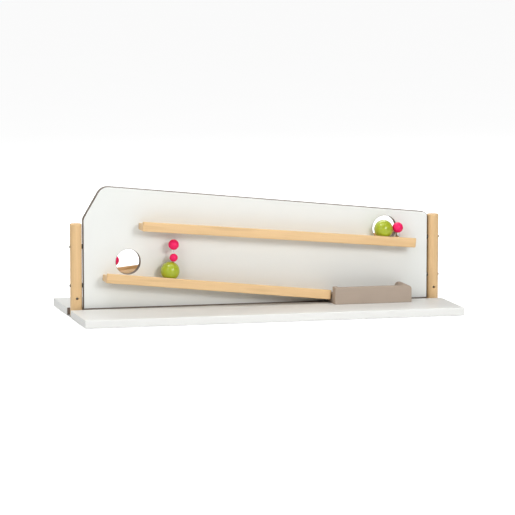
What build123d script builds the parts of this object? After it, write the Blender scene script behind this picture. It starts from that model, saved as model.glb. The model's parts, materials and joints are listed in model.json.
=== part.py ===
"""Toddler ball-run play wall: a free-standing panel between two poles, with three sloping ledges.

Millimetres. +X runs along the wall to the right, +Y points to the back, +Z up.
The origin is on the floor, under the middle of the two base boards.
A ball rolls right on the upper ledge, goes back through the right hole, rolls left on the rear
ledge, comes forward through the left hole and rolls right on the lower ledge into the tray.
"""
import os
from math import atan2, cos, degrees, sin, sqrt, tan

from build123d import *

# ---- overall size -------------------------------------------------------------------------
POLE_SPACING = 1400.0        # centre to centre of the two end poles
POLE_DIA = 45.0
POLE_ABOVE_BOARDS = 323.0    # height of a pole over the base boards
BOARD_DEPTH = 285.0          # front to back, of each of the two base boards
BOARD_THICK = 30.0
BOARD_GAP = 76.0             # slot between the boards, where panel and poles stand
BOARD_PAST_POLE = 29.0       # from a pole's centre to the end of the boards
BOARD_CORNER_R = 5.0
EDGE_R = 2.0                 # small rounding on the boards
POLE_TOP_R = 4.0
GLIDER_DIA = 20.0
GLIDER_HEIGHT = 3.0
GLIDER_INSET = 28.0          # glider centre from the edges of its board

# ---- panel --------------------------------------------------------------------------------
PANEL_THICK = 28.0
LAMINATE_THICK = 1.0
LAMINATE_SETBACK = 1.5       # from the core's outline and holes
LAMINATE_OVER_BOARDS = 2.0   # lower edge of the laminates over the boards
PANEL_END_GAP = 4.0          # between the panel's end and the pole's surface
PANEL_SHOULDER_Z = 374.0     # where the slanted corner starts on the left end
PANEL_PEAK_Z = 495.6         # sharp corner between the slant and the top edge
PANEL_PEAK_INSET = 72.0      # that corner, from the panel's left end
PANEL_RIGHT_Z = 365.3        # height of the top edge at the right end
PANEL_PEAK_R = 45.0
PANEL_SHOULDER_R = 30.0
PANEL_RIGHT_R = 18.0
HOLE_CLEARANCE = 23.0        # a ball hole's diameter over the ball's
HOLE_INSET = 171.0           # hole centres, from the panel's ends
LEFT_HOLE_Z = 207.0
RIGHT_HOLE_Z = 308.0

# ---- ledges -------------------------------------------------------------------------------
BALL_DIA = 72.0
BALL_PLAY = 1.1              # between a ball and the panel, and between it and the lip
LEDGE_HEIGHT = 36.0
LIP_HEIGHT = 12.0            # lip over the ledge's floor
LIP_THICK = 11.0
LEDGE_CORNER_R = 7.0
LEDGE_EDGE_R = 3.5
HOLE_OVER_UPPER_BALL = 2.0       # right hole's centre over a ball's centre on the upper ledge
REAR_DROP = 3.0                  # step down from the upper floor to the rear floor
HOLE_OVER_REAR_BALL = 6.5        # left hole's centre over a ball's centre on the rear ledge
HOLE_OVER_LOWER_BALL = 19.0      # left hole's centre over a ball's centre on the lower ledge
UPPER_START_LIP_Z = 365.0        # lip top at the upper ledge's left end
UPPER_LEFT_INSET = 214.0         # ledge ends, from the panel's ends
UPPER_RIGHT_INSET = 64.0
LOWER_LEFT_INSET = 75.5
LOWER_END_OVER_BOARD = 14.5      # underside of the lower ledge's right end over the boards
LEDGE_TO_TRAY = 2.0
REAR_END_INSET = 64.0

# ---- balls, stops and knocker -------------------------------------------------------------
STOP_BALL_DIA = 41.0
STOP_PAST_HOLE = 42.0        # stop, from its hole's centre
STOP_OVER_BALL = 9.5         # stop ball's centre over a rolling ball's centre
STOP_PIN_DIA = 16.0
BALL_TO_STOP_GAP = 0.4
KNOCKER_INSET = 336.6        # knocker's pivot, from the panel's left end
KNOCKER_STANDOUT = 45.0      # pivot ball's centre, from the panel's face
KNOCKER_ARM = 49.4           # pivot ball's centre to bead's centre
KNOCKER_BALL_DIA = 40.0
KNOCKER_BEAD_DIA = 31.0
KNOCKER_ROD_DIA = 4.0
KNOCKER_AXLE_DIA = 6.0
KNOCKER_IN_BALL = 11.0       # axle's depth past the pivot ball's centre
KNOCKER_END_PLAY = 0.2       # along the axle, in front of and behind the panel
BUSH_DIA = 10.0
BUSH_FLANGE_DIA = 15.0
BUSH_FLANGE_THICK = 2.0
SPACER_SLEEVE_DIA = 11.0
AXLE_CAP_DIA = 13.0
AXLE_CAP_LENGTH = 6.5
KNOCKER_BRUSH_GAP = 0.5      # a rolling ball passes this far from the swinging bead
LOWER_BALL_UPHILL = 12.0     # resting place of the lower ball, uphill of the knocker

# ---- catch tray ---------------------------------------------------------------------------
TRAY_LENGTH = 303.0
TRAY_RIGHT_INSET = 95.0      # tray's right side, from the panel's right end
TRAY_DEPTH = 116.0
TRAY_HEIGHT = 65.0
TRAY_WALL = 18.0
TRAY_END_WALL = 34.0         # right end
TRAY_END_R = 15.0            # rounding along the top of the right end
TRAY_BACK_WALL = 12.0
TRAY_BACK_HEIGHT = 30.0
TRAY_NOTCH_DROP = 3.0        # notch in the left wall, below the lower ledge's floor
TRAY_BASE_THICK = 8.0
TRAY_LEFT_CORNER_R = 4.0
TRAY_EDGE_R = 2.5
TRAY_FOOT_R = 3.0            # rounding at the foot of the front wall
TRAY_SCREW_LENGTH = 46.0

# ---- fasteners ----------------------------------------------------------------------------
GLUE_GAP = 0.05              # radial play of dowels, pins and screws in their holes
RUN_GAP = 0.05               # radial play of the knocker on its pin
DOWEL_DIA = 10.0
DOWEL_IN_PANEL = 12.0
DOWEL_IN_LEDGE = 28.0
DOWEL_PITCH = 150.0
PLATE_WIDTH = 50.0
PLATE_LENGTH = 180.0
PLATE_THICK = 5.0
PLATE_SCREW_DIA = 5.0
PLATE_SCREW_LENGTH = 24.0
FOOT_SCREW_LENGTH = 45.0
FOOT_BOLT_DIA = 8.0
NUT_DIA = 10.0
NUT_LENGTH = 18.0
NUT_OVER_BOARDS = 40.7       # height of the barrel nut in a pole
TIE_BOLT_DIA = 6.0
TIE_BOLT_HEIGHTS = (88.5, 235.5)     # over the boards
TIE_HEAD_DIA = 10.0
TIE_HEAD_LENGTH = 5.5
TIE_COUNTERBORE_DIA = 13.0
TIE_COUNTERBORE_DEPTH = 3.0
INSERT_DIA = 12.0
INSERT_LENGTH = 20.0
SPACER_DIA = 18.0
SPACER_SEAT_DEPTH = 2.6

# ---- worked out from the values above -----------------------------------------------------
BOARD_TOP = GLIDER_HEIGHT + BOARD_THICK
BOARD_HALF_LENGTH = POLE_SPACING / 2 + BOARD_PAST_POLE
BOARD_MID_Y = BOARD_GAP / 2 + BOARD_DEPTH / 2
POLE_R = POLE_DIA / 2
POLE_TOP = BOARD_TOP + POLE_ABOVE_BOARDS
STAND_Z = GLIDER_HEIGHT + PLATE_THICK        # panel and poles stand on the tie plates
PANEL_HALF = POLE_SPACING / 2 - POLE_R - PANEL_END_GAP
FACE_Y = PANEL_THICK / 2
HOLE_X = PANEL_HALF - HOLE_INSET
BALL_R = BALL_DIA / 2
HOLE_DIA = BALL_DIA + HOLE_CLEARANCE
# A ball resting on the floor is nearest the lip where the lip's top edge meets it.
LIP_TOUCH = sqrt(BALL_R**2 - (BALL_R - LIP_HEIGHT) ** 2)
CHANNEL_WIDTH = BALL_R + LIP_TOUCH + 2 * BALL_PLAY
BALL_Y = -(FACE_Y + BALL_R + BALL_PLAY)
STOP_BALL_RISE = BALL_R + STOP_OVER_BALL
LEDGE_DEPTH = CHANNEL_WIDTH + LIP_THICK

UPPER_LEFT_X = UPPER_LEFT_INSET - PANEL_HALF
UPPER_RIGHT_X = PANEL_HALF - UPPER_RIGHT_INSET
UPPER_LIP_AT_HOLE = RIGHT_HOLE_Z - HOLE_OVER_UPPER_BALL - BALL_R + LIP_HEIGHT
UPPER_SLOPE = atan2(UPPER_START_LIP_Z - UPPER_LIP_AT_HOLE, HOLE_X - UPPER_LEFT_X)

REAR_END_X = PANEL_HALF - REAR_END_INSET
REAR_LIP_RIGHT = UPPER_LIP_AT_HOLE - REAR_DROP
REAR_LIP_LEFT = LEFT_HOLE_Z - HOLE_OVER_REAR_BALL - BALL_R + LIP_HEIGHT
REAR_SLOPE = atan2(REAR_LIP_RIGHT - REAR_LIP_LEFT, 2 * HOLE_X)

TRAY_RIGHT_X = PANEL_HALF - TRAY_RIGHT_INSET
TRAY_LEFT_X = TRAY_RIGHT_X - TRAY_LENGTH
LOWER_LEFT_X = LOWER_LEFT_INSET - PANEL_HALF
LOWER_RIGHT_X = TRAY_LEFT_X - LEDGE_TO_TRAY
LOWER_LIP_AT_HOLE = LEFT_HOLE_Z - HOLE_OVER_LOWER_BALL - BALL_R + LIP_HEIGHT
LOWER_LIP_AT_END = BOARD_TOP + LOWER_END_OVER_BOARD + LEDGE_HEIGHT
LOWER_SLOPE = atan2(LOWER_LIP_AT_HOLE - LOWER_LIP_AT_END, LOWER_RIGHT_X + HOLE_X)

KNOCKER_X = KNOCKER_INSET - PANEL_HALF
KNOCKER_Y = -(FACE_Y + KNOCKER_STANDOUT)


def lower_ball_z(x):
    """Height of the lower ball's centre where it stands at x."""
    lip = LOWER_LIP_AT_HOLE - (x + HOLE_X) * tan(LOWER_SLOPE)
    return lip + (BALL_R - LIP_HEIGHT) / cos(LOWER_SLOPE)


def upper_ball_z(x):
    """Height of the upper ball's centre where it stands at x."""
    lip = UPPER_LIP_AT_HOLE - (x - HOLE_X) * tan(UPPER_SLOPE)
    return lip + (BALL_R - LIP_HEIGHT) / cos(UPPER_SLOPE)


BEAD_REACH = BALL_R + KNOCKER_BEAD_DIA / 2 + KNOCKER_BRUSH_GAP
BEAD_RISE = sqrt(BEAD_REACH**2 - (KNOCKER_Y - BALL_Y) ** 2)
KNOCKER_Z = lower_ball_z(KNOCKER_X) + (KNOCKER_ARM + BEAD_RISE) / cos(LOWER_SLOPE)
LOWER_BALL_X = KNOCKER_X - LOWER_BALL_UPHILL

STOP_X = HOLE_X + STOP_PAST_HOLE
FRONT_FLOOR_AT_STOP = UPPER_LIP_AT_HOLE - STOP_PAST_HOLE * tan(UPPER_SLOPE) - LIP_HEIGHT
REAR_FLOOR_AT_STOP = REAR_LIP_LEFT - STOP_PAST_HOLE * tan(REAR_SLOPE) - LIP_HEIGHT


# ---- small helpers ------------------------------------------------------------------------
def rod(radius, start, end):
    """Round bar between two points."""
    a, b = Vector(*start), Vector(*end)
    return Plane(origin=a, z_dir=b - a) * Cylinder(
        radius, (b - a).length, align=(Align.CENTER, Align.CENTER, Align.MIN)
    )


def block(x, y, z):
    """Box between low and high values on each axis."""
    size = [high - low for low, high in (x, y, z)]
    middle = [(low + high) / 2 for low, high in (x, y, z)]
    return Pos(*middle) * Box(*size)


def countersunk(shank_dia, length, play=0.0):
    """Countersunk screw standing on its head, tip up; play widens it into its own hole."""
    r = shank_dia / 2 + play
    head_r = shank_dia + play
    head = Cone(head_r, r, head_r - r, align=(Align.CENTER, Align.CENTER, Align.MIN))
    point_length = shank_dia * 0.8
    shank = Cylinder(r, length - point_length, align=(Align.CENTER, Align.CENTER, Align.MIN))
    point = Pos(0, 0, length - point_length) * Cone(
        r, r * 0.2, point_length, align=(Align.CENTER, Align.CENTER, Align.MIN)
    )
    return head + shank + point


def holes_for(pieces, make, *args):
    """All the places of a repeated piece, as one tool to cut their holes."""
    tool = make(*args)
    return [place * tool for place in pieces]


def cut(body, tools):
    """Body with every tool taken out of it."""
    for tool in tools:
        body = body - tool
    return body


# ---- places of the fasteners --------------------------------------------------------------
PLATE_XS = (-POLE_SPACING / 2, 0.0, POLE_SPACING / 2)
PLATE_SCREW_YS = [side * y for side in (-1, 1) for y in (PLATE_LENGTH / 2 - 12, BOARD_GAP / 2 + 16)]
PLATE_SCREW_XS = (-PLATE_WIDTH / 2 + 12, PLATE_WIDTH / 2 - 12)
PLATE_SCREWS = [
    Pos(plate + x, y, GLIDER_HEIGHT) for plate in PLATE_XS for x, y in zip(PLATE_SCREW_XS * 2, PLATE_SCREW_YS)
]
PANEL_FOOT_SCREWS = [Pos(x, 0, GLIDER_HEIGHT) for x in PLATE_SCREW_XS]
FOOT_BOLT_LENGTH = BOARD_TOP + NUT_OVER_BOARDS + NUT_DIA / 2 + 6 - GLIDER_HEIGHT
TIE_ZS = [BOARD_TOP + height for height in TIE_BOLT_HEIGHTS]
SPACER_FACE = POLE_SPACING / 2 - POLE_R + SPACER_SEAT_DEPTH
TIE_HEAD_SEAT = POLE_SPACING / 2 + POLE_R - TIE_COUNTERBORE_DEPTH
NUT_Z = BOARD_TOP + NUT_OVER_BOARDS


def dowel_xs(left, right):
    """Even dowel places along a ledge, well inside its ends."""
    inset = 55.0
    count = max(2, round((right - left - 2 * inset) / DOWEL_PITCH) + 1)
    step = (right - left - 2 * inset) / (count - 1)
    return [left + inset + i * step for i in range(count)]


def ledge_dowels(left, right, lip_at, side, play=0.0):
    """Dowels between the panel and a ledge; side is -1 for a front ledge, +1 for the rear one."""
    r = DOWEL_DIA / 2 + play
    drop = LIP_HEIGHT + (LEDGE_HEIGHT - LIP_HEIGHT) / 2
    dowels = []
    for x in dowel_xs(left, right):
        z = lip_at(x) - drop
        inner = side * (FACE_Y - DOWEL_IN_PANEL)
        outer = side * (FACE_Y + DOWEL_IN_LEDGE)
        dowels.append(rod(r, (x, inner, z), (x, outer, z)))
    return dowels


def upper_lip(x):
    return UPPER_LIP_AT_HOLE - (x - HOLE_X) * tan(UPPER_SLOPE)


def lower_lip(x):
    return LOWER_LIP_AT_HOLE - (x + HOLE_X) * tan(LOWER_SLOPE)


def rear_lip(x):
    return REAR_LIP_LEFT + (x + HOLE_X) * tan(REAR_SLOPE)


# ---- base ---------------------------------------------------------------------------------
def tie_plate(x):
    """Steel plate under the slot, let into both boards from below."""
    plate = block(
        (x - PLATE_WIDTH / 2, x + PLATE_WIDTH / 2),
        (-PLATE_LENGTH / 2, PLATE_LENGTH / 2),
        (GLIDER_HEIGHT, STAND_Z),
    )
    plate = fillet(plate.edges().filter_by(Axis.Z), 6)
    plate = cut(plate, holes_for(PLATE_SCREWS, countersunk, PLATE_SCREW_DIA, PLATE_SCREW_LENGTH, GLUE_GAP))
    if x == 0.0:
        foot = holes_for(PANEL_FOOT_SCREWS, countersunk, PLATE_SCREW_DIA, FOOT_SCREW_LENGTH, GLUE_GAP)
        return cut(plate, foot)
    return plate - Pos(x, 0, GLIDER_HEIGHT) * countersunk(FOOT_BOLT_DIA, FOOT_BOLT_LENGTH, GLUE_GAP)


def base_board(side):
    """One of the two floor boards; side is -1 in front and +1 behind."""
    with BuildPart() as board:
        with BuildSketch(Plane.XY.offset(GLIDER_HEIGHT)):
            with Locations((0, side * BOARD_MID_Y)):
                RectangleRounded(2 * BOARD_HALF_LENGTH, BOARD_DEPTH, BOARD_CORNER_R)
        extrude(amount=BOARD_THICK)
    body = board.part
    rims = body.edges().group_by(Axis.Z)
    body = fillet(rims[0] + rims[-1], EDGE_R)
    for x in PLATE_XS:
        body -= block(
            (x - PLATE_WIDTH / 2 - GLUE_GAP, x + PLATE_WIDTH / 2 + GLUE_GAP),
            (-PLATE_LENGTH / 2 - GLUE_GAP, PLATE_LENGTH / 2 + GLUE_GAP),
            (0, STAND_Z),
        )
    return cut(body, holes_for(PLATE_SCREWS, countersunk, PLATE_SCREW_DIA, PLATE_SCREW_LENGTH, GLUE_GAP))


def gliders():
    """Round plastic gliders under the corners and the middle of both boards."""
    disc = chamfer(Cylinder(GLIDER_DIA / 2, GLIDER_HEIGHT).faces().sort_by(Axis.Z)[0].edges(), 0.8)
    x = BOARD_HALF_LENGTH - GLIDER_INSET
    inner = BOARD_GAP / 2 + GLIDER_INSET
    outer = BOARD_GAP / 2 + BOARD_DEPTH - GLIDER_INSET
    places = [(sx * x, sy * y) for sx in (-1, 1) for sy in (-1, 1) for y in (inner, outer)]
    places += [(POLE_SPACING / 4 * sx, sy * outer) for sx in (-1, 1) for sy in (-1, 1)]
    return [Pos(px, py, GLIDER_HEIGHT / 2) * disc for px, py in places]


# ---- poles and panel ----------------------------------------------------------------------
def tie_bolt(side, z, play=0.0):
    """Socket bolt through a pole into the panel's end."""
    head = rod(TIE_HEAD_DIA / 2, (side * TIE_HEAD_SEAT, 0, z), (side * (TIE_HEAD_SEAT + TIE_HEAD_LENGTH), 0, z))
    socket_depth = TIE_HEAD_LENGTH / 2
    socket = Pos(side * (TIE_HEAD_SEAT + TIE_HEAD_LENGTH - socket_depth), 0, z) * Rot(0, side * 90, 0)
    head -= socket * extrude(RegularPolygon(TIE_BOLT_DIA * 0.42, 6), socket_depth)
    end = PANEL_HALF - INSERT_LENGTH + 2
    return head + rod(TIE_BOLT_DIA / 2 + play, (side * end, 0, z), (side * TIE_HEAD_SEAT, 0, z))


def pole(side):
    """Round end pole, drilled for its foot bolt, barrel nut and the two bolts to the panel."""
    x = side * POLE_SPACING / 2
    body = rod(POLE_R, (x, 0, STAND_Z), (x, 0, POLE_TOP))
    body = fillet(body.edges().group_by(Axis.Z)[-1], POLE_TOP_R)
    body -= Pos(x, 0, STAND_Z) * Cylinder(
        FOOT_BOLT_DIA / 2 + GLUE_GAP,
        FOOT_BOLT_LENGTH - PLATE_THICK + 2,
        align=(Align.CENTER, Align.CENTER, Align.MIN),
    )
    body -= rod(NUT_DIA / 2 + GLUE_GAP, (x, -POLE_DIA, NUT_Z), (x, NUT_LENGTH / 2, NUT_Z))
    for z in TIE_ZS:
        inner, outer = side * (POLE_SPACING / 2 - POLE_DIA), side * (POLE_SPACING / 2 + POLE_DIA)
        body -= rod(TIE_BOLT_DIA / 2 + GLUE_GAP, (inner, 0, z), (outer, 0, z))
        body -= rod(TIE_COUNTERBORE_DIA / 2, (side * TIE_HEAD_SEAT, 0, z), (outer, 0, z))
        body -= rod(SPACER_DIA / 2 + 1, (inner, 0, z), (side * SPACER_FACE, 0, z))
    return body


def barrel_nut(side):
    """Cross-drilled round nut that the foot bolt screws into."""
    x = side * POLE_SPACING / 2
    nut = rod(NUT_DIA / 2, (x, -NUT_LENGTH / 2, NUT_Z), (x, NUT_LENGTH / 2, NUT_Z))
    return nut - rod(FOOT_BOLT_DIA / 2 + GLUE_GAP, (x, 0, NUT_Z - NUT_DIA), (x, 0, NUT_Z + NUT_DIA))


def foot_bolt(side):
    """Countersunk bolt up through a tie plate into the pole's barrel nut."""
    bolt = Cylinder(
        FOOT_BOLT_DIA / 2, FOOT_BOLT_LENGTH, align=(Align.CENTER, Align.CENTER, Align.MIN)
    ) + Cone(
        FOOT_BOLT_DIA, FOOT_BOLT_DIA / 2, FOOT_BOLT_DIA / 2, align=(Align.CENTER, Align.CENTER, Align.MIN)
    )
    return Pos(side * POLE_SPACING / 2, 0, GLIDER_HEIGHT) * bolt


def panel_outline(foot, setback):
    """The panel's outline down to a given foot, drawn in by a setback, with its two ball holes."""
    corners = [
        (-PANEL_HALF, STAND_Z),
        (PANEL_HALF, STAND_Z),
        (PANEL_HALF, PANEL_RIGHT_Z),
        (-PANEL_HALF + PANEL_PEAK_INSET, PANEL_PEAK_Z),
        (-PANEL_HALF, PANEL_SHOULDER_Z),
    ]
    radii = {2: PANEL_RIGHT_R, 3: PANEL_PEAK_R, 4: PANEL_SHOULDER_R}
    outline = make_face(Polyline(*corners, close=True))
    for index, radius in radii.items():
        corner = outline.vertices().sort_by_distance((*corners[index], 0))[0]
        outline = fillet(corner, radius)
    if setback:
        outline = offset(outline, -setback)
        outline -= Pos(0, foot / 2) * Rectangle(3 * PANEL_HALF, foot)
    hole = Circle(HOLE_DIA / 2 + setback)
    outline -= Pos(-HOLE_X, LEFT_HOLE_Z) * hole
    outline -= Pos(HOLE_X, RIGHT_HOLE_Z) * hole
    return outline


def panel_sheet(thick, y, outline):
    """Sheet of an outline, centred at depth y."""
    sheet = Plane(origin=(0, y, 0), x_dir=(1, 0, 0), z_dir=(0, -1, 0)) * outline
    return extrude(sheet, thick / 2, both=True)


def panel_insert(side, z, play=0.0):
    """Threaded insert in the panel's end."""
    start, end = side * (PANEL_HALF - INSERT_LENGTH), side * PANEL_HALF
    body = rod(INSERT_DIA / 2 + play, (start, 0, z), (end, 0, z))
    if play:
        return body
    return body - rod(TIE_BOLT_DIA / 2 + GLUE_GAP, (start, 0, z), (end, 0, z))


def panel_spacer(side, z):
    """Washer between a pole's flat seat and the panel's end."""
    start, end = side * PANEL_HALF, side * SPACER_FACE
    ring = rod(SPACER_DIA / 2, (start, 0, z), (end, 0, z))
    return ring - rod(TIE_BOLT_DIA / 2 + GLUE_GAP, (start, 0, z), (end, 0, z))


# ---- ledges -------------------------------------------------------------------------------
def ledge(left, right, lip_at, slope, side, drop_right):
    """L-shaped ledge: a floor with a lip along its outer edge, against the panel's face.

    left and right are the ends along X, lip_at gives the lip's height, side is -1 in front.
    """
    length = (right - left) / cos(slope)
    outer = -LEDGE_DEPTH
    plan = make_face(
        Polyline((0, 0), (length, 0), (length, outer), (0, outer), close=True)
    )
    plan = fillet(plan.vertices().group_by(Axis.Y)[0], LEDGE_CORNER_R)
    body = Pos(0, 0, -LEDGE_HEIGHT) * extrude(plan, LEDGE_HEIGHT)
    body -= block((-1, length + 1), (-CHANNEL_WIDTH, 1), (-LIP_HEIGHT, 1))
    lip_top = body.faces().sort_by(Axis.Z)[-1]
    body = fillet(lip_top.edges(), LEDGE_EDGE_R)
    underside = body.faces().sort_by(Axis.Z)[0]
    rim = underside.edges().filter_by(lambda e: (e @ 0.5).Y < -1)
    body = fillet(rim, LEDGE_EDGE_R)
    tilt = degrees(slope) if drop_right else -degrees(slope)
    placed = Pos(left, 0, lip_at(left)) * Rot(0, tilt, 0) * body
    if side > 0:
        placed = mirror(placed, Plane.XZ)
    return Pos(0, side * FACE_Y, 0) * placed


def stop_pin(x, y, floor_z, play=0.0):
    """Upright steel pin of a stop, from inside the ledge to inside its ball."""
    low = floor_z - 18.0
    return rod(STOP_PIN_DIA / 2 + play, (x, y, low), (x, y, floor_z + STOP_BALL_RISE + 8))


def stop_ball(x, y, floor_z):
    """Ball on top of a stop pin."""
    ball = Pos(x, y, floor_z + STOP_BALL_RISE) * Sphere(STOP_BALL_DIA / 2)
    return ball - stop_pin(x, y, floor_z, GLUE_GAP)


# ---- knocker ------------------------------------------------------------------------------
FLANGE_FACE_Y = -FACE_Y - BUSH_FLANGE_THICK
SLEEVE_START_Y = FLANGE_FACE_Y - KNOCKER_END_PLAY
SLEEVE_END_Y = KNOCKER_Y + sqrt(KNOCKER_BALL_DIA**2 - SPACER_SLEEVE_DIA**2) / 2
CAP_START_Y = FACE_Y + KNOCKER_END_PLAY
AXLE_FRONT_Y = KNOCKER_Y - KNOCKER_IN_BALL
AXLE_REAR_Y = CAP_START_Y + AXLE_CAP_LENGTH - 2.0


def along_pivot(radius, near_y, far_y):
    """Round bar on the knocker's pivot axis."""
    return rod(radius, (KNOCKER_X, near_y, KNOCKER_Z), (KNOCKER_X, far_y, KNOCKER_Z))


def bush_hole():
    """Hole through the panel for the knocker's bush."""
    return along_pivot(BUSH_DIA / 2 + GLUE_GAP, -FACE_Y - 1, FACE_Y + 1)


def knocker_bush():
    """Flanged bush through the panel, which the axle turns in."""
    bush = along_pivot(BUSH_DIA / 2, FACE_Y, -FACE_Y)
    bush += along_pivot(BUSH_FLANGE_DIA / 2, -FACE_Y, FLANGE_FACE_Y)
    return bush - along_pivot(KNOCKER_AXLE_DIA / 2 + RUN_GAP, FACE_Y + 1, FLANGE_FACE_Y - 1)


def knocker_axle(play=0.0):
    """Axle fixed in the pivot ball, through the bush to its cap behind the panel."""
    axle = along_pivot(KNOCKER_AXLE_DIA / 2 + play, AXLE_REAR_Y, AXLE_FRONT_Y)
    return axle


def knocker_spacer():
    """Sleeve on the axle that holds the pivot ball away from the panel."""
    sleeve = along_pivot(SPACER_SLEEVE_DIA / 2, SLEEVE_START_Y, SLEEVE_END_Y - 2.0)
    sleeve -= Pos(KNOCKER_X, KNOCKER_Y, KNOCKER_Z) * Sphere(KNOCKER_BALL_DIA / 2)
    return sleeve - knocker_axle(GLUE_GAP)


def knocker_axle_cap():
    """Domed push-on cap that keeps the axle in, behind the panel."""
    cap = along_pivot(AXLE_CAP_DIA / 2, CAP_START_Y, CAP_START_Y + AXLE_CAP_LENGTH)
    outer = cap.edges().group_by(Axis.Y)[-1]
    return fillet(outer, AXLE_CAP_LENGTH * 0.45) - knocker_axle(GLUE_GAP)


def knocker_rod(play=0.0):
    """Rod between the pivot ball and the bead."""
    top = KNOCKER_Z - 7.0
    low = KNOCKER_Z - KNOCKER_ARM - 7.0
    return rod(KNOCKER_ROD_DIA / 2 + play, (KNOCKER_X, KNOCKER_Y, low), (KNOCKER_X, KNOCKER_Y, top))


def knocker_ball():
    """Pivot ball, bored for its axle and for the rod of the bead."""
    ball = Pos(KNOCKER_X, KNOCKER_Y, KNOCKER_Z) * Sphere(KNOCKER_BALL_DIA / 2)
    return ball - knocker_axle(GLUE_GAP) - knocker_rod(GLUE_GAP)


def knocker_bead():
    """Small bead at the end of the knocker's rod, which a rolling ball brushes."""
    bead = Pos(KNOCKER_X, KNOCKER_Y, KNOCKER_Z - KNOCKER_ARM) * Sphere(KNOCKER_BEAD_DIA / 2)
    return bead - knocker_rod(GLUE_GAP)


# ---- rolling balls ------------------------------------------------------------------------
def lower_ball():
    return Pos(LOWER_BALL_X, BALL_Y, lower_ball_z(LOWER_BALL_X)) * Sphere(BALL_R)


def upper_ball():
    """Ball resting against the front stop, in front of the right hole."""
    reach = BALL_R + STOP_BALL_DIA / 2 + BALL_TO_STOP_GAP
    stop_z = FRONT_FLOOR_AT_STOP + STOP_BALL_RISE
    x = STOP_X - reach
    for _ in range(20):
        rise = stop_z - upper_ball_z(x)
        x = STOP_X - sqrt(reach**2 - rise**2)
    return Pos(x, BALL_Y, upper_ball_z(x)) * Sphere(BALL_R)


# ---- catch tray ---------------------------------------------------------------------------
TRAY_BACK_Y = -FACE_Y
TRAY_FRONT_Y = TRAY_BACK_Y - TRAY_DEPTH
TRAY_TOP = BOARD_TOP + TRAY_HEIGHT
TRAY_INNER_FRONT = TRAY_FRONT_Y + TRAY_WALL
TRAY_INNER_BACK = TRAY_BACK_Y - TRAY_BACK_WALL
TRAY_INNER_LEFT = TRAY_LEFT_X + TRAY_WALL
TRAY_INNER_RIGHT = TRAY_RIGHT_X - TRAY_END_WALL
TRAY_NOTCH_Z = lower_lip(TRAY_LEFT_X) - LIP_HEIGHT - TRAY_NOTCH_DROP
TRAY_SCREW_PLACES = [
    (TRAY_LEFT_X + TRAY_WALL / 2, -BOARD_GAP / 2 - 22),
    (TRAY_RIGHT_X - TRAY_END_WALL / 2, -BOARD_GAP / 2 - 22),
    (TRAY_LEFT_X + TRAY_LENGTH * 0.22, TRAY_FRONT_Y + TRAY_WALL / 2),
    (TRAY_RIGHT_X - TRAY_LENGTH * 0.22, TRAY_FRONT_Y + TRAY_WALL / 2),
]
TRAY_SCREWS = [Pos(x, y, GLIDER_HEIGHT) for x, y in TRAY_SCREW_PLACES]


def tray_screws(play=0.0):
    """Countersunk screws from under the front board into the tray's walls."""
    return holes_for(TRAY_SCREWS, countersunk, PLATE_SCREW_DIA, TRAY_SCREW_LENGTH, play)


def tray_dowels(play=0.0):
    """Dowels between the tray's front wall and its two end walls."""
    r = 4.0 + play
    pegs = []
    for x in (TRAY_LEFT_X + TRAY_WALL / 2, TRAY_RIGHT_X - TRAY_END_WALL / 2):
        for z in (BOARD_TOP + TRAY_HEIGHT * 0.25, BOARD_TOP + TRAY_HEIGHT * 0.65):
            pegs.append(rod(r, (x, TRAY_INNER_FRONT - 11, z), (x, TRAY_INNER_FRONT + 13, z)))
    return pegs


def tray_front_wall():
    """Front of the tray, over its whole length, with rounded corners."""
    wall = block((TRAY_LEFT_X, TRAY_RIGHT_X), (TRAY_FRONT_Y, TRAY_INNER_FRONT), (BOARD_TOP, TRAY_TOP))
    shoulder = wall.edges().filter_by(Axis.Y).group_by(Axis.Z)[-1].sort_by(Axis.X)[-1]
    wall = fillet(shoulder, TRAY_END_R)
    corners = wall.edges().filter_by(Axis.Z).group_by(Axis.Y)[0].sort_by(Axis.X)
    wall = fillet(corners[0], TRAY_LEFT_CORNER_R)
    rim = wall.faces().sort_by(Axis.Z)[-1].edges().filter_by(Axis.X)
    wall = fillet(rim, TRAY_EDGE_R)
    foot = wall.faces().sort_by(Axis.Z)[0].edges().filter_by(lambda e: (e @ 0.5).Y < TRAY_FRONT_Y + 3)
    wall = fillet(foot, TRAY_FOOT_R)
    return cut(wall, tray_dowels(GLUE_GAP) + tray_screws(GLUE_GAP))


def tray_right_wall():
    """Right end of the tray, with a broad round top."""
    wall = block((TRAY_INNER_RIGHT, TRAY_RIGHT_X), (TRAY_INNER_FRONT, TRAY_BACK_Y), (BOARD_TOP, TRAY_TOP))
    rim = wall.faces().sort_by(Axis.Z)[-1].edges().filter_by(Axis.Y)
    wall = fillet(rim, TRAY_END_R)
    return cut(wall, tray_dowels(GLUE_GAP) + tray_screws(GLUE_GAP))


def tray_left_wall():
    """Left end of the tray, cut low where the lower ledge delivers the ball."""
    wall = block((TRAY_LEFT_X, TRAY_INNER_LEFT), (TRAY_INNER_FRONT, TRAY_BACK_Y), (BOARD_TOP, TRAY_TOP))
    rim = wall.faces().sort_by(Axis.Z)[-1].edges().filter_by(Axis.Y)
    wall = fillet(rim, TRAY_EDGE_R)
    notch_front = -(FACE_Y + LEDGE_DEPTH)
    notch = block(
        (TRAY_LEFT_X - 1, TRAY_INNER_LEFT + 1),
        (notch_front, 0),
        (TRAY_NOTCH_Z, TRAY_TOP + 1),
    )
    inner_corners = notch.edges().filter_by(Axis.X).group_by(Axis.Y)[0].group_by(Axis.Z)[0]
    wall -= fillet(inner_corners, TRAY_EDGE_R * 2)
    return cut(wall, tray_dowels(GLUE_GAP) + tray_screws(GLUE_GAP))


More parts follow.
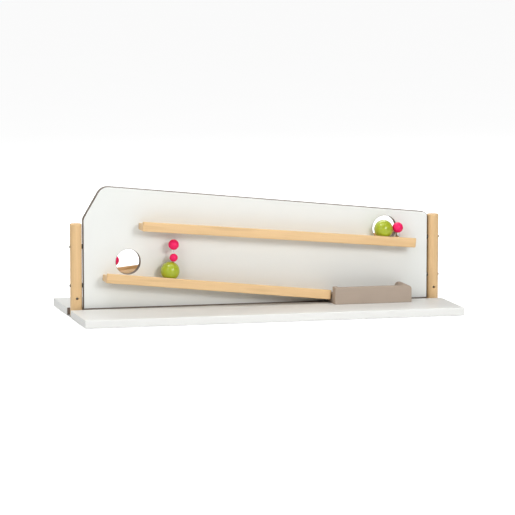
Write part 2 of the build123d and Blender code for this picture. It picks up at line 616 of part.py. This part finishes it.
def tray_back_wall():
    """Low wall along the panel."""
    return block(
        (TRAY_INNER_LEFT, TRAY_INNER_RIGHT), (TRAY_INNER_BACK, TRAY_BACK_Y), (BOARD_TOP, BOARD_TOP + TRAY_BACK_HEIGHT)
    )


def tray_base():
    """Bottom board between the four walls."""
    return block(
        (TRAY_INNER_LEFT, TRAY_INNER_RIGHT), (TRAY_INNER_FRONT, TRAY_INNER_BACK), (BOARD_TOP, BOARD_TOP + TRAY_BASE_THICK)
    )


# ---- build every node ---------------------------------------------------------------------
def build():
    """Every node of the part, by name; a list is a group of separate solids."""
    sides = (-1, 1)
    front_face, rear_face = -FACE_Y + LAMINATE_THICK / 2, FACE_Y - LAMINATE_THICK / 2
    upper = (UPPER_LEFT_X, UPPER_RIGHT_X, upper_lip)
    lower = (LOWER_LEFT_X, LOWER_RIGHT_X, lower_lip)
    rear = (-REAR_END_X, REAR_END_X, rear_lip)
    front_stop = (STOP_X, BALL_Y, FRONT_FLOOR_AT_STOP)
    rear_stop = (-STOP_X, -BALL_Y, REAR_FLOOR_AT_STOP)
    dowel_holes = (
        ledge_dowels(*upper, -1, GLUE_GAP) + ledge_dowels(*lower, -1, GLUE_GAP) + ledge_dowels(*rear, 1, GLUE_GAP)
    )
    skin = panel_outline(BOARD_TOP + LAMINATE_OVER_BOARDS, LAMINATE_SETBACK)
    core = panel_sheet(PANEL_THICK - 2 * LAMINATE_THICK, 0, panel_outline(STAND_Z, 0))
    core = cut(core, dowel_holes + [bush_hole()])
    core = cut(core, [panel_insert(side, z, GLUE_GAP) for side in sides for z in TIE_ZS])
    core = cut(core, holes_for(PANEL_FOOT_SCREWS, countersunk, PLATE_SCREW_DIA, FOOT_SCREW_LENGTH, GLUE_GAP))

    nodes = {
        "front_base_board": cut(base_board(-1), tray_screws(GLUE_GAP)),
        "rear_base_board": base_board(1),
        "base_gliders": gliders(),
        "left_tie_plate": tie_plate(PLATE_XS[0]),
        "middle_tie_plate": tie_plate(PLATE_XS[1]),
        "right_tie_plate": tie_plate(PLATE_XS[2]),
        "tie_plate_screws": holes_for(PLATE_SCREWS, countersunk, PLATE_SCREW_DIA, PLATE_SCREW_LENGTH),
        "panel_foot_screws": holes_for(PANEL_FOOT_SCREWS, countersunk, PLATE_SCREW_DIA, FOOT_SCREW_LENGTH),
        "left_pole": pole(-1),
        "right_pole": pole(1),
        "pole_foot_bolts": [foot_bolt(side) for side in sides],
        "pole_barrel_nuts": [barrel_nut(side) for side in sides],
        "panel_tie_bolts": [tie_bolt(side, z) for side in sides for z in TIE_ZS],
        "panel_threaded_inserts": [panel_insert(side, z) for side in sides for z in TIE_ZS],
        "panel_spacers": [panel_spacer(side, z) for side in sides for z in TIE_ZS],
        "panel_core": core,
        "panel_front_laminate": cut(panel_sheet(LAMINATE_THICK, front_face, skin), dowel_holes + [bush_hole()]),
        "panel_rear_laminate": cut(panel_sheet(LAMINATE_THICK, rear_face, skin), dowel_holes + [bush_hole()]),
        "upper_ledge": cut(
            ledge(*upper, UPPER_SLOPE, -1, True),
            ledge_dowels(*upper, -1, GLUE_GAP) + [stop_pin(*front_stop, GLUE_GAP)],
        ),
        "lower_ledge": cut(ledge(*lower, LOWER_SLOPE, -1, True), ledge_dowels(*lower, -1, GLUE_GAP)),
        "rear_ledge": cut(
            ledge(*rear, REAR_SLOPE, 1, False),
            ledge_dowels(*rear, 1, GLUE_GAP) + [stop_pin(*rear_stop, GLUE_GAP)],
        ),
        "upper_ledge_dowels": ledge_dowels(*upper, -1),
        "lower_ledge_dowels": ledge_dowels(*lower, -1),
        "rear_ledge_dowels": ledge_dowels(*rear, 1),
        "front_stop_pin": stop_pin(*front_stop),
        "front_stop_ball": stop_ball(*front_stop),
        "rear_stop_pin": stop_pin(*rear_stop),
        "rear_stop_ball": stop_ball(*rear_stop),
        "knocker_bush": knocker_bush(),
        "knocker_axle": knocker_axle(),
        "knocker_axle_cap": knocker_axle_cap(),
        "knocker_spacer": knocker_spacer(),
        "knocker_ball": knocker_ball(),
        "knocker_rod": knocker_rod(),
        "knocker_bead": knocker_bead(),
        "upper_green_ball": upper_ball(),
        "lower_green_ball": lower_ball(),
        "tray_front_wall": tray_front_wall(),
        "tray_back_wall": tray_back_wall(),
        "tray_left_wall": tray_left_wall(),
        "tray_right_wall": tray_right_wall(),
        "tray_base": tray_base(),
        "tray_dowels": tray_dowels(),
        "tray_screws": tray_screws(),
    }
    return nodes


def main():
    os.makedirs("parts", exist_ok=True)
    for name, shape in build().items():
        if isinstance(shape, list):
            shape = Compound(children=[Compound(children=piece.solids()) if len(piece.solids()) > 1
                                       else piece.solid() for piece in shape])
        export_step(shape, f"parts/{name}.step")


main()
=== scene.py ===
"""Looks of the ball-run play wall: materials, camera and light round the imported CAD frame."""
import json
import math

import bpy
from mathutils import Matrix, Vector


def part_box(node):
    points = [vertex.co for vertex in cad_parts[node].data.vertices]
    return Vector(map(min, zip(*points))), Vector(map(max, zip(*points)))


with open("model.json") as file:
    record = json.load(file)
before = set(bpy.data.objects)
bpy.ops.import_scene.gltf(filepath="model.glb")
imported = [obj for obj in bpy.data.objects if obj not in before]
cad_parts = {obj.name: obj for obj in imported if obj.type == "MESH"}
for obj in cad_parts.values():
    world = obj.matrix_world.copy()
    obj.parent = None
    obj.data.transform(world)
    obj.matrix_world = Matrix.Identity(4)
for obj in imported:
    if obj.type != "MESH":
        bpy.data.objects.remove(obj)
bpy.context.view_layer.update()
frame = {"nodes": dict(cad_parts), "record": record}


# ---- node helpers ---------------------------------------------------------------------------
class Shader:
    """A new material with short calls for its nodes."""

    def __init__(self, name, **settings):
        self.mat = bpy.data.materials.new(name)
        self.mat.use_nodes = True
        self.tree = self.mat.node_tree
        self.bsdf = self.tree.nodes["Principled BSDF"]
        self.coords = self.tree.nodes.new("ShaderNodeTexCoord").outputs["Object"]
        for socket, value in settings.items():
            self.bsdf.inputs[socket.replace("_", " ")].default_value = value

    def node(self, kind, values=None, **attributes):
        n = self.tree.nodes.new("ShaderNode" + kind)
        for key, value in attributes.items():
            setattr(n, key, value)
        for socket, value in (values or {}).items():
            self.feed(n.inputs[socket], value)
        return n

    def feed(self, socket, value):
        if isinstance(value, bpy.types.NodeSocket):
            self.tree.links.new(value, socket)
        else:
            socket.default_value = value

    def place(self, scale, turn=(0, 0, 0), shift=(0, 0, 0)):
        """Object coordinates, turned and then stretched."""
        turned = self.node("Mapping", {"Vector": self.coords, "Rotation": turn, "Location": shift})
        return self.node("Mapping", {"Vector": turned.outputs[0], "Scale": scale}).outputs[0]

    def noise(self, vector, scale=1.0, detail=3.0, rough=0.5, distortion=0.0):
        values = {"Vector": vector, "Scale": scale, "Detail": detail}
        values |= {"Roughness": rough, "Distortion": distortion}
        return self.node("TexNoise", values).outputs["Fac"]

    def cells(self, vector, scale=1.0, feature="F1", output="Distance"):
        return self.node("TexVoronoi", {"Vector": vector, "Scale": scale}, feature=feature).outputs[output]

    def waves(self, vector, scale, distortion, detail=2.0, detail_scale=1.0, axis="X"):
        values = {"Vector": vector, "Scale": scale, "Distortion": distortion, "Detail": detail}
        values["Detail Scale"] = detail_scale
        return self.node("TexWave", values, bands_direction=axis).outputs["Fac"]

    def span(self, value, low, high, to_low=0.0, to_high=1.0):
        values = {"Value": value, "From Min": low, "From Max": high}
        values |= {"To Min": to_low, "To Max": to_high}
        return self.node("MapRange", values).outputs["Result"]

    def ramp(self, value, *stops):
        n = self.node("ValToRGB", {"Fac": value})
        elements = n.color_ramp.elements
        while len(elements) < len(stops):
            elements.new(0.5)
        for element, (position, colour) in zip(elements, stops):
            element.position = position
            element.color = (*colour, 1)
        return n.outputs["Color"]

    def mix(self, amount, a, b, blend="MIX"):
        n = self.node("Mix", data_type="RGBA", blend_type=blend)
        for index, value in ((0, amount), (6, a), (7, b)):
            value = (*value, 1) if isinstance(value, tuple) and len(value) == 3 else value
            self.feed(n.inputs[index], value)
        return n.outputs[2]

    def times(self, a, b):
        return self.node("Math", {0: a, 1: b}, operation="MULTIPLY").outputs[0]

    def plus(self, a, b):
        return self.node("Math", {0: a, 1: b}, operation="ADD").outputs[0]

    def surface(self, colour, rough, *bumps):
        """Joins colour, roughness and (height, depth in metres) bumps to the shader."""
        self.feed(self.bsdf.inputs["Base Color"], colour)
        self.feed(self.bsdf.inputs["Roughness"], rough)
        normal = None
        for height, depth in bumps:
            values = {"Height": height, "Distance": depth, "Strength": 1.0}
            if normal is not None:
                values["Normal"] = normal
            normal = self.node("Bump", values).outputs[0]
        if normal is not None:
            self.feed(self.bsdf.inputs["Normal"], normal)
        return self.mat


def shade(colour, k):
    return tuple(c * k for c in colour)


# ---- materials ------------------------------------------------------------------------------
def beech(name, turn, light, dark, shift=(0, 0, 0), streak=0.22):
    """Clear lacquered beech. turn brings the grain on to local X, streak deepens its long bands."""
    s = Shader(name, Coat_Weight=0.18, Coat_Roughness=0.28, Specular_IOR_Level=0.42)
    board = s.place((1, 1, 1), turn, shift)
    stretched = s.node("Mapping", {"Vector": board, "Scale": (0.9, 14, 14)}).outputs[0]
    warp = s.noise(stretched, 1.0, 3, 0.55, 0.4)
    rings = s.waves(stretched, 2.6, 5.5, 2.5, 1.3, "Y")
    fibres = s.noise(s.node("Mapping", {"Vector": board, "Scale": (9, 420, 420)}).outputs[0], 1.0, 3, 0.6)
    flecks = s.noise(s.node("Mapping", {"Vector": board, "Scale": (260, 1500, 1500)}).outputs[0], 1.0, 1, 0.4)
    fleck_mask = s.span(flecks, 0.66, 0.74)
    base = s.ramp(warp, (0.28, shade(light, 0.97)), (0.5, light), (0.74, dark))
    base = s.mix(s.span(rings, 0.25, 1.0, 0.0, streak), base, shade(dark, 0.88))
    base = s.mix(s.span(fibres, 0.45, 0.8, 0.0, 0.28), base, shade(dark, 0.80))
    base = s.mix(s.times(fleck_mask, 0.30), base, shade(dark, 0.52))
    rough = s.span(fibres, 0.3, 0.75, 0.36, 0.50)
    return s.surface(base, rough, (fibres, 0.00006), (fleck_mask, -0.00004))


def end_grain(name, light, dark):
    """Dowels and other small unfinished wood."""
    s = Shader(name, Specular_IOR_Level=0.3)
    fine = s.noise(s.coords, 900.0, 3, 0.6)
    broad = s.noise(s.coords, 45.0, 2, 0.5)
    colour = s.mix(s.span(fine, 0.3, 0.7, 0.0, 0.5), light, dark)
    colour = s.mix(s.span(broad, 0.3, 0.7, 0.0, 0.3), colour, shade(dark, 0.85))
    return s.surface(colour, s.span(fine, 0.3, 0.7, 0.6, 0.75), (fine, 0.00008))


def white_board(name, colour, rough, grain, bare_shaded_inside=0.0):
    """White laminated board: nearly even, with a fine pearl texture and faint handling marks.

    Nearer the wall's centre plane than the given reach, its edge is bare brown-grey board, darkened as
    painted shade for the narrow slot.
    """
    s = Shader(name, Specular_IOR_Level=0.45)
    cloud = s.noise(s.coords, 2.2, 3, 0.5)
    pearl = s.noise(s.coords, 1500.0, 2, 0.6)
    long = s.noise(s.place((3, 260, 260)), 1.0, 2, 0.5)
    rubbed = s.noise(s.place((22, 130, 130), (0, 0, 0.4)), 1.0, 4, 0.7, 1.2)
    marks = s.span(rubbed, 0.66, 0.80)
    base = s.ramp(cloud, (0.3, shade(colour, 0.985)), (0.7, shade(colour, 1.012)))
    base = s.mix(s.span(long, 0.35, 0.8, 0.0, grain), base, shade(colour, 0.93))
    base = s.mix(s.times(marks, 0.10), base, shade(colour, 0.88))
    if bare_shaded_inside:
        depth = s.node("SeparateXYZ", {"Vector": s.coords}).outputs["Y"]
        away = s.node("Math", {0: depth}, operation="ABSOLUTE").outputs[0]
        layers = s.noise(s.place((18, 18, 900)), 1.0, 4, 0.65)
        # Painted shade: bare board brown-grey, darkened by about a third for the shade inside the slot.
        bare_shaded_edge = s.ramp(layers, (0.3, (0.16, 0.13, 0.11)), (0.7, (0.24, 0.20, 0.165)))
        base = s.mix(s.span(away, bare_shaded_inside, bare_shaded_inside + 0.0004, 1.0, 0.0), base, bare_shaded_edge)
    roughness = s.plus(s.span(pearl, 0.3, 0.7, rough - 0.04, rough + 0.04), s.times(marks, 0.08))
    return s.surface(base, roughness, (pearl, 0.000025), (cloud, 0.0004))


def fibreboard(name, light, dark):
    """Edge of the panel's core: pressed fibres in fine layers."""
    s = Shader(name, Specular_IOR_Level=0.25)
    layers = s.noise(s.place((18, 900, 18)), 1.0, 4, 0.65)
    chips = s.cells(s.place((260, 900, 260)), 1.0)
    stain = s.noise(s.coords, 14.0, 3, 0.55)
    base = s.ramp(layers, (0.3, dark), (0.72, light))
    base = s.mix(s.span(chips, 0.1, 0.8, 0.0, 0.25), base, shade(dark, 0.8))
    base = s.mix(s.span(stain, 0.35, 0.75, 0.0, 0.2), base, shade(light, 1.08))
    return s.surface(base, s.span(layers, 0.3, 0.7, 0.62, 0.8), (layers, 0.00008), (chips, 0.00005))


def lacquered_ball(name, colour, deep, coat, rough):
    """Solid wooden ball under coloured lacquer; the turning lines show through very faintly."""
    s = Shader(name, Coat_Weight=coat, Coat_Roughness=0.20, Specular_IOR_Level=0.35)
    cloud = s.noise(s.coords, 38.0, 3, 0.5)
    grain = s.noise(s.place((60, 900, 900), (0, 0.35, 0.2)), 1.0, 3, 0.6)
    peel = s.noise(s.coords, 620.0, 2, 0.5)
    dust = s.span(s.noise(s.coords, 1700.0, 1, 0.5), 0.72, 0.78)
    base = s.ramp(cloud, (0.3, deep), (0.7, colour))
    base = s.mix(s.span(grain, 0.5, 0.8, 0.0, 0.20), base, shade(deep, 0.85))
    base = s.mix(s.times(dust, 0.15), base, shade(colour, 0.7))
    roughness = s.span(peel, 0.3, 0.7, rough - 0.05, rough + 0.06)
    return s.surface(base, roughness, (peel, 0.00003), (grain, 0.00003))


def matte_paint(name, colour):
    """Matte painted wood of the tray, with a fine stipple."""
    s = Shader(name, Specular_IOR_Level=0.32)
    cloud = s.noise(s.coords, 9.0, 3, 0.55)
    stipple = s.noise(s.coords, 1100.0, 2, 0.6)
    grain = s.noise(s.place((7, 300, 300)), 1.0, 3, 0.6)
    base = s.ramp(cloud, (0.3, shade(colour, 0.96)), (0.7, shade(colour, 1.03)))
    base = s.mix(s.span(grain, 0.45, 0.85, 0.0, 0.25), base, shade(colour, 0.84))
    base = s.mix(s.span(stipple, 0.55, 0.8, 0.0, 0.12), base, shade(colour, 1.15))
    return s.surface(base, s.span(stipple, 0.3, 0.7, 0.55, 0.68), (stipple, 0.00005), (grain, 0.00006))


def steel(name, colour, rough, turn, streak=0.5):
    """Bright or dark steel with fine lines along local X."""
    s = Shader(name, Metallic=1.0)
    lines = s.noise(s.place((25, 3200, 3200), turn), 1.0, 3, 0.6)
    cloud = s.noise(s.coords, 60.0, 3, 0.55)
    base = s.mix(s.span(lines, 0.3, 0.75, 0.0, streak), colour, shade(colour, 0.7))
    base = s.mix(s.span(cloud, 0.4, 0.75, 0.0, 0.3), base, shade(colour, 0.85))
    return s.surface(base, s.span(lines, 0.3, 0.7, rough - 0.07, rough + 0.09), (lines, 0.00001))


def moulded(name, colour, rough):
    """Moulded plastic with a fine eroded texture."""
    s = Shader(name, Specular_IOR_Level=0.45)
    fine = s.noise(s.coords, 1600.0, 2, 0.6)
    cloud = s.noise(s.coords, 70.0, 2, 0.5)
    base = s.mix(s.span(cloud, 0.3, 0.7, 0.0, 0.5), colour, shade(colour, 0.86))
    base = s.mix(s.span(fine, 0.55, 0.8, 0.0, 0.2), base, shade(colour, 1.2))
    return s.surface(base, s.span(fine, 0.3, 0.7, rough - 0.06, rough + 0.07), (fine, 0.00003))


# The boards' edges beside the slot are painted dark up to here, measured from the wall's centre plane: bare
# board colour, darkened as painted shade for the slot.
SLOT_EDGE_REACH = 0.0012
slot_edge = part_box("rear_base_board")[0][1] + SLOT_EDGE_REACH

LIGHT_BEECH = (0.785, 0.532, 0.270)
DARK_BEECH = (0.69, 0.440, 0.205)
# Turns that bring the grain or the fine lines on to local X.
ALONG_Z = (0, math.radians(90), 0)
ALONG_Y = (0, 0, math.radians(90))
ALONG_LEDGE = (0, math.radians(-5), 0)
materials = {
    "white_board": white_board(
        "white board", (0.79, 0.793, 0.768), rough=0.40, grain=0.06, bare_shaded_inside=slot_edge
    ),
    "white_laminate": white_board(
        "white laminate", (0.79, 0.807, 0.782), rough=0.50, grain=0.04
    ),
    # The core's own brown-grey, darkened by about a third as painted shade for the shade in the slot and at
    # the hole rims.
    "panel_board": fibreboard("panel core with painted shade", (0.26, 0.215, 0.18), (0.17, 0.14, 0.115)),
    "beech": beech("beech pole", ALONG_Z, LIGHT_BEECH, DARK_BEECH),
    "ledge_beech": beech(
        "beech ledge", ALONG_LEDGE, LIGHT_BEECH, DARK_BEECH, shift=(0.3, 0.02, 0.1), streak=0.5
    ),
    "dowel_wood": end_grain("dowel wood", (0.62, 0.45, 0.27), (0.48, 0.33, 0.19)),
    "taupe_lacquer": matte_paint("taupe paint", (0.418, 0.337, 0.272)),
    "green_lacquer": lacquered_ball(
        "green lacquer", (0.42, 0.495, 0.020), (0.35, 0.415, 0.014), coat=0.55, rough=0.34
    ),
    "pink_lacquer": lacquered_ball(
        "pink lacquer", (0.95, 0.006, 0.135), (0.86, 0.004, 0.11), coat=0.12, rough=0.45
    ),
    "dark_steel": steel("dark steel", (0.20, 0.195, 0.19), 0.30, ALONG_Z),
    "bright_steel": steel("bright steel", (0.80, 0.80, 0.79), 0.16, ALONG_Z, 0.2),
    "zinc_steel": steel("zinc steel", (0.62, 0.62, 0.60), 0.33, (0, 0, 0)),
    "steel_plate": steel("steel plate", (0.50, 0.50, 0.49), 0.42, ALONG_Y, 0.35),
    "black_plastic": moulded("black nylon", (0.055, 0.050, 0.046), 0.45),
    "clear_plastic": moulded("glider plastic", (0.62, 0.62, 0.60), 0.40),
}

slot_of = {part["node"]: part["material_slot"] for part in frame["record"]["subparts"]}
for node, thing in frame["nodes"].items():
    for place in thing.material_slots:
        place.material = materials[slot_of[node]]


# ---- floor ----------------------------------------------------------------------------------
def pale(name, glow, grey):
    """Plain pale studio surface that runs into the white around it."""
    s = Shader(name, Emission_Color=(1, 1, 1, 1), Emission_Strength=glow)
    cloud = s.noise(s.coords, 1.3, 2, 0.5)
    base = s.ramp(cloud, (0.3, (grey - 0.01,) * 3), (0.7, (grey + 0.01,) * 3))
    return s.surface(base, 0.8)


def seen_only(thing):
    """The camera sees it, but it sends no light on to the object."""
    thing.visible_diffuse = False
    thing.visible_glossy = False
    thing.visible_transmission = False
    thing.visible_shadow = False


FLOOR_SIZE = 300
BOUNCE_DROP = 0.002          # the surface that sends light up lies this far under the seen one
BACKDROP_RADIUS = 180

bpy.ops.mesh.primitive_plane_add(size=FLOOR_SIZE, location=(0, 0, 0))
floor = bpy.context.object
floor.name = "floor"
floor.data.materials.append(pale("studio floor", 0.80, 0.80))
seen_only(floor)

bpy.ops.mesh.primitive_plane_add(size=FLOOR_SIZE, location=(0, 0, -BOUNCE_DROP))
bounce = bpy.context.object
bounce.name = "floor_bounce"
bounce.data.materials.append(pale("floor bounce", 0.0, 0.84))
bounce.visible_camera = False

bpy.ops.mesh.primitive_uv_sphere_add(
    segments=48, ring_count=24, radius=BACKDROP_RADIUS, location=(0, 0, 0)
)
backdrop = bpy.context.object
backdrop.name = "backdrop"
backdrop.data.materials.append(pale("backdrop", 1.0, 0.5))
seen_only(backdrop)


# ---- light ----------------------------------------------------------------------------------
WORLD_STRENGTH = 0.19

world = bpy.data.worlds.new("studio")
bpy.context.scene.world = world
world.use_nodes = True
background = world.node_tree.nodes["Background"]
background.inputs["Color"].default_value = (1.0, 1.0, 1.0, 1)
background.inputs["Strength"].default_value = WORLD_STRENGTH


def softbox(name, place, target, size, power):
    """White rectangular area light at place, aimed at target."""
    data = bpy.data.lights.new(name, "AREA")
    data.shape = "RECTANGLE"
    data.size, data.size_y = size
    data.energy = power
    lamp = bpy.data.objects.new(name, data)
    bpy.context.scene.collection.objects.link(lamp)
    lamp.location = place
    lamp.rotation_mode = "QUATERNION"
    lamp.rotation_quaternion = (Vector(target) - Vector(place)).to_track_quat("-Z", "Y")
    return lamp


centre = (0, 0, 0.2)
softbox("key", (1.5, -6.5, 2.6), centre, (1.6, 1.6), 105)
softbox("key_right", (2.6, -6.2, 2.6), centre, (1.6, 1.6), 97)
softbox("fill_left", (-4.5, -5.0, 3.0), centre, (3.0, 3.0), 88)
softbox("top_left", (-1.8, -0.6, 3.8), (-0.5, -0.2, 0.0), (2.4, 1.0), 44)
softbox("top_strip", (0.0, -0.9, 3.0), centre, (3.0, 1.0), 25)
softbox("back", (0.0, 3.0, 4.0), centre, (5.0, 2.0), 150)


# ---- camera ---------------------------------------------------------------------------------
CAMERA_PLACE = (-2.9512, -11.7946, 1.7025)
CAMERA_YAW = math.radians(14.064)
CAMERA_PITCH = math.radians(7.015)
CAMERA_LENS = 224.705
CAMERA_SENSOR = 36.0

camera_data = bpy.data.cameras.new("camera")
camera_data.lens = CAMERA_LENS
camera_data.sensor_width = CAMERA_SENSOR
camera_data.clip_start, camera_data.clip_end = 0.1, 400.0
camera = bpy.data.objects.new("camera", camera_data)
bpy.context.scene.collection.objects.link(camera)
camera.location = CAMERA_PLACE
camera.rotation_euler = (math.radians(90) - CAMERA_PITCH, 0, -CAMERA_YAW)
bpy.context.scene.camera = camera

view = bpy.context.scene.view_settings
view.view_transform = "Standard"
view.look = "None"
view.exposure = 0.0
